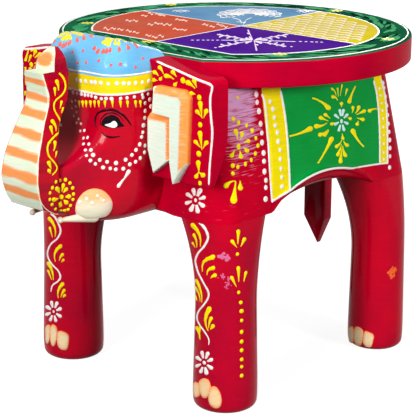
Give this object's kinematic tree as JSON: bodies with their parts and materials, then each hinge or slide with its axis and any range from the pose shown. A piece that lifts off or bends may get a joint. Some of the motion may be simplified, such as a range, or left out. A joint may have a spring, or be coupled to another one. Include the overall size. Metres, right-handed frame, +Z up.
{
  "type": "carved wooden animal stool",
  "caption": "Low carved and painted wooden stool in the form of an elephant: a round board to sit on over a barrel body with column legs, head with raised trunk, ears and tail.",
  "frame": {"origin": "on the floor, in the middle of the whole stool's footprint box", "axes": "+Z up, +Y towards the tail, +X towards the elephant's left side; the head looks along -Y"},
  "size_m": [0.32, 0.425, 0.321],
  "materials": {
    "red_enamel": "glossy crimson enamel on carved wood",
    "seat_paint": "glossy enamel painted board, dark green rim",
    "trunk_paint": "pale glossy enamel",
    "cream_paint": "cream enamel with orange bevels",
    "dowel_wood": "plain unpainted hardwood",
    "screw_steel": "plain zinc-plated steel"
  },
  "bodies": {
    "root": {"seat_top": "seat_paint", "body_block": "red_enamel", "leg_front_left": "red_enamel", "leg_front_right": "red_enamel", "leg_rear_left": "red_enamel", "leg_rear_right": "red_enamel", "head_block": "red_enamel", "trunk": "trunk_paint", "ear_left": "red_enamel", "ear_right": "red_enamel", "ear_fold_outer_left": "cream_paint", "ear_fold_outer_right": "cream_paint", "ear_fold_inner_left": "cream_paint", "ear_fold_inner_right": "cream_paint", "tusk_left": "cream_paint", "tusk_right": "cream_paint", "tail": "red_enamel", "leg_dowel_front_left": "dowel_wood", "leg_dowel_front_right": "dowel_wood", "leg_dowel_rear_left": "dowel_wood", "leg_dowel_rear_right": "dowel_wood", "head_dowels": "dowel_wood", "trunk_dowel": "dowel_wood", "ear_dowels_left": "dowel_wood", "ear_dowels_right": "dowel_wood", "tail_dowel": "dowel_wood", "seat_screws": "screw_steel", "seat_plugs": "dowel_wood"}
  },
  "joints": []
}
